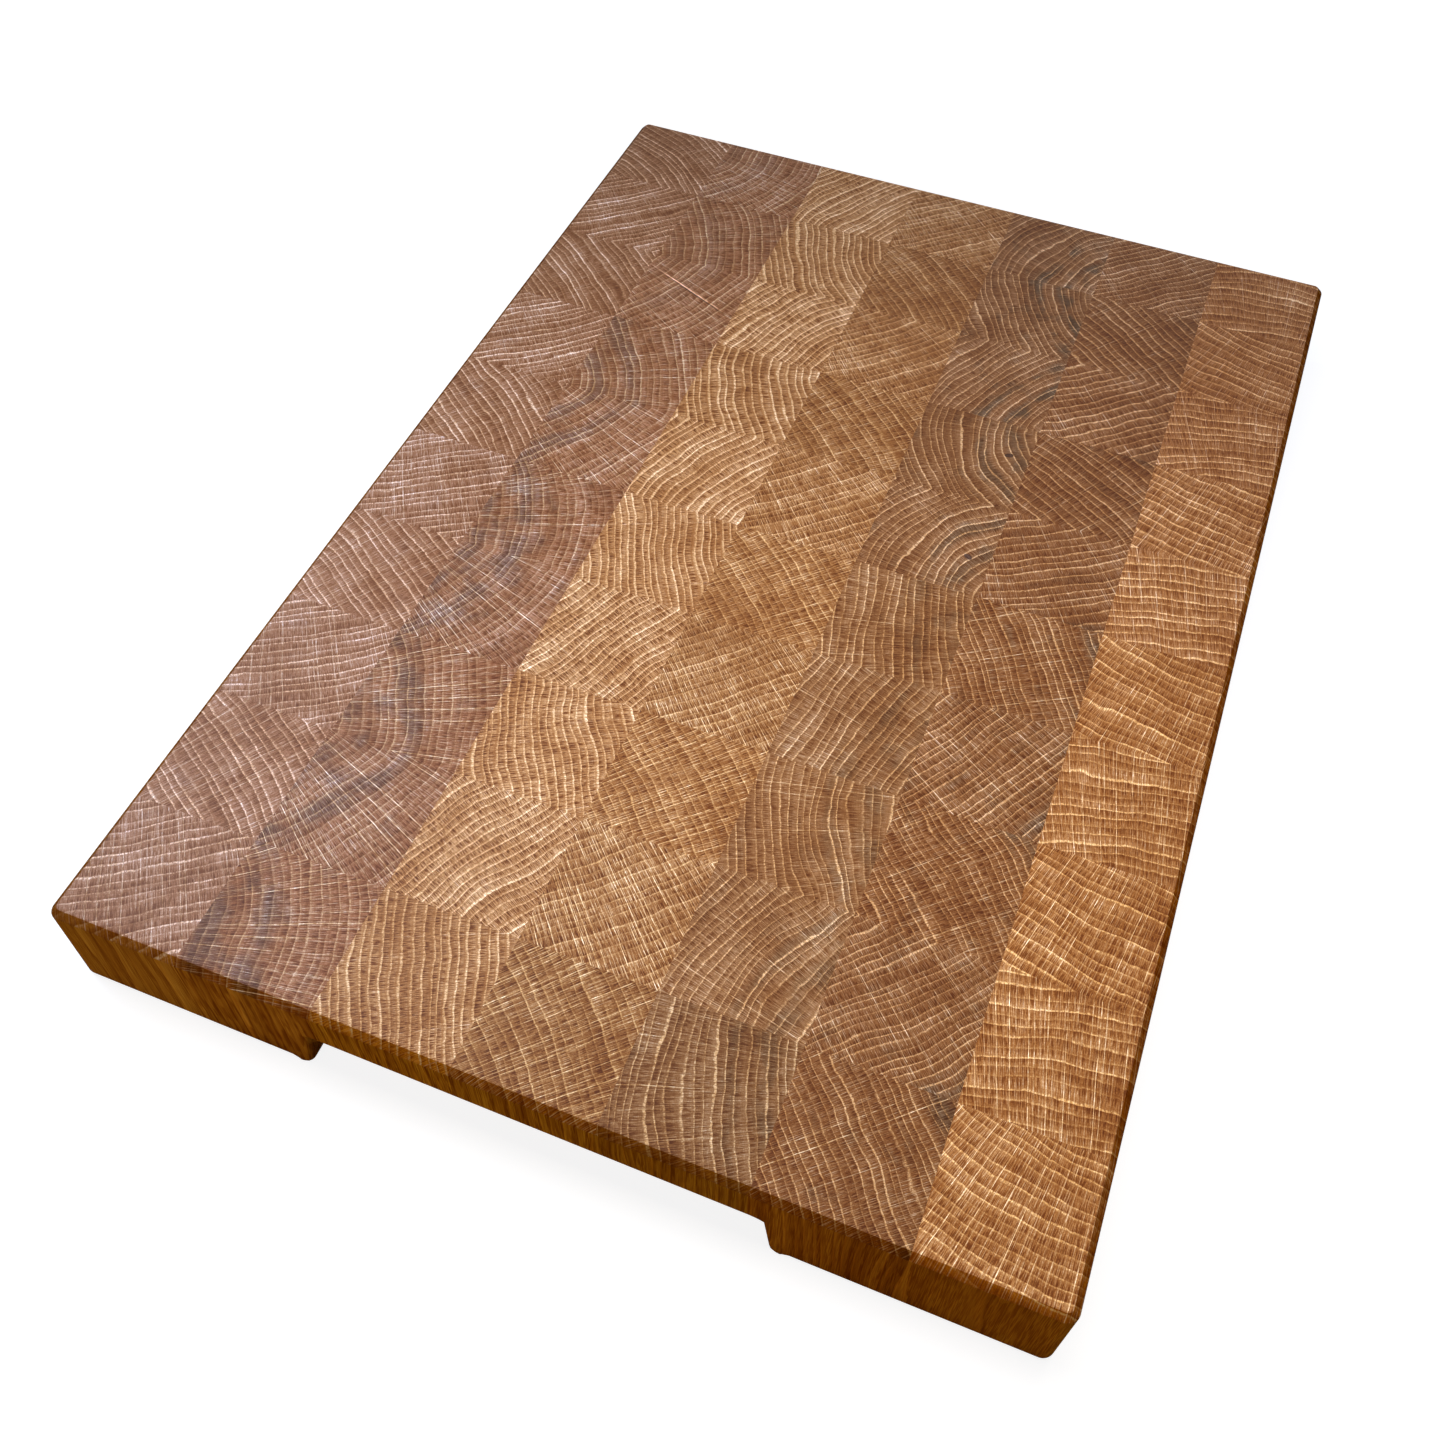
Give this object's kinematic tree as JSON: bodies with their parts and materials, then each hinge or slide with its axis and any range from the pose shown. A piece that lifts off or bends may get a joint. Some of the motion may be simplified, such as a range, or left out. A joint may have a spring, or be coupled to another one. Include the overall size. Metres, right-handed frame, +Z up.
{
  "type": "cutting board",
  "caption": "End-grain oak chopping board: blocks glued with their fibres upright, bevelled top edge, and a finger recess under each end to lift it by.",
  "frame": {"origin": "centre of the underside, on the surface that the board lies on", "axes": "+X to the right along the short end, +Y to the back along the length, +Z up out of the work face"},
  "size_m": [0.28, 0.4, 0.035],
  "materials": {
    "oak_stave_1": "satin oiled end grain",
    "oak_stave_2": "satin oiled end grain",
    "oak_stave_3": "satin oiled end grain",
    "oak_stave_4": "satin oiled end grain",
    "oak_stave_5": "satin oiled end grain",
    "oak_stave_6": "satin oiled end grain",
    "oak_stave_7": "satin oiled end grain"
  },
  "bodies": {
    "root": {"front_block_1": "oak_stave_1", "front_block_2": "oak_stave_2", "front_block_3": "oak_stave_3", "front_block_4": "oak_stave_4", "front_block_5": "oak_stave_5", "front_block_6": "oak_stave_6", "front_block_7": "oak_stave_7", "back_block_1": "oak_stave_1", "back_block_2": "oak_stave_2", "back_block_3": "oak_stave_3", "back_block_4": "oak_stave_4", "back_block_5": "oak_stave_5", "back_block_6": "oak_stave_6", "back_block_7": "oak_stave_7", "left_block_2": "oak_stave_1", "left_block_3": "oak_stave_1", "left_block_4": "oak_stave_1", "left_block_5": "oak_stave_1", "left_block_6": "oak_stave_1", "left_block_7": "oak_stave_1", "left_block_8": "oak_stave_1", "left_block_9": "oak_stave_1", "right_block_2": "oak_stave_7", "right_block_3": "oak_stave_7", "right_block_4": "oak_stave_7", "right_block_5": "oak_stave_7", "right_block_6": "oak_stave_7", "right_block_7": "oak_stave_7", "right_block_8": "oak_stave_7", "right_block_9": "oak_stave_7", "stave_2_blocks_2_and_4": "oak_stave_2", "stave_2_blocks_3_and_5": "oak_stave_2", "stave_2_blocks_6_and_8": "oak_stave_2", "stave_2_blocks_7_and_9": "oak_stave_2", "stave_3_blocks_2_and_4": "oak_stave_3", "stave_3_blocks_3_and_5": "oak_stave_3", "stave_3_blocks_6_and_8": "oak_stave_3", "stave_3_blocks_7_and_9": "oak_stave_3", "stave_4_blocks_2_and_4": "oak_stave_4", "stave_4_blocks_3_and_5": "oak_stave_4", "stave_4_blocks_6_and_8": "oak_stave_4", "stave_4_blocks_7_and_9": "oak_stave_4", "stave_5_blocks_2_and_4": "oak_stave_5", "stave_5_blocks_3_and_5": "oak_stave_5", "stave_5_blocks_6_and_8": "oak_stave_5", "stave_5_blocks_7_and_9": "oak_stave_5", "stave_6_blocks_2_and_4": "oak_stave_6", "stave_6_blocks_3_and_5": "oak_stave_6", "stave_6_blocks_6_and_8": "oak_stave_6", "stave_6_blocks_7_and_9": "oak_stave_6"}
  },
  "joints": []
}
